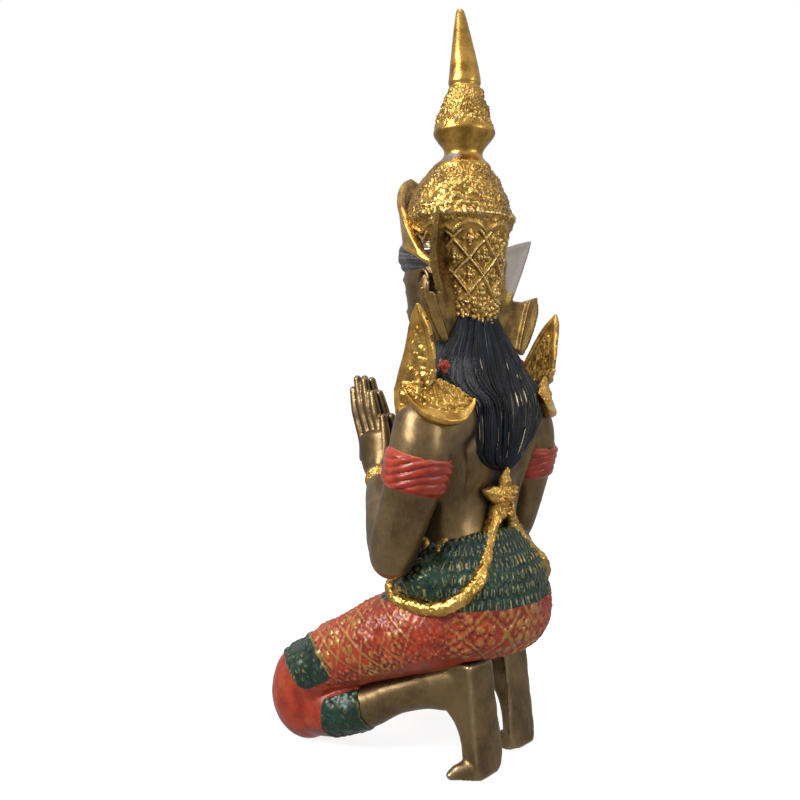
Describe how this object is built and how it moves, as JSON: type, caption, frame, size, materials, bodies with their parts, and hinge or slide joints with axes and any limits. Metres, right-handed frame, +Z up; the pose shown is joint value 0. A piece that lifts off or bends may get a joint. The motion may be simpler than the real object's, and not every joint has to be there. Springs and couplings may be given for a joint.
{
  "type": "kneeling thepphanom statuette",
  "caption": "Kneeling thepphanom, a guardian angel of Thai temples, with palms together under a tall pointed crown; painted cast bronze.",
  "frame": {"origin": "centre of the bounding box, on the plane the knees and toes stand on", "axes": "+Z up through the crown, -Y the way the figure faces, +X the figure's own left"},
  "size_m": [0.0816, 0.085, 0.244],
  "materials": {
    "casting": "satin bronze, worn gold, red, green and black paint"
  },
  "bodies": {
    "root": {"thepphanom": "casting"}
  },
  "joints": []
}
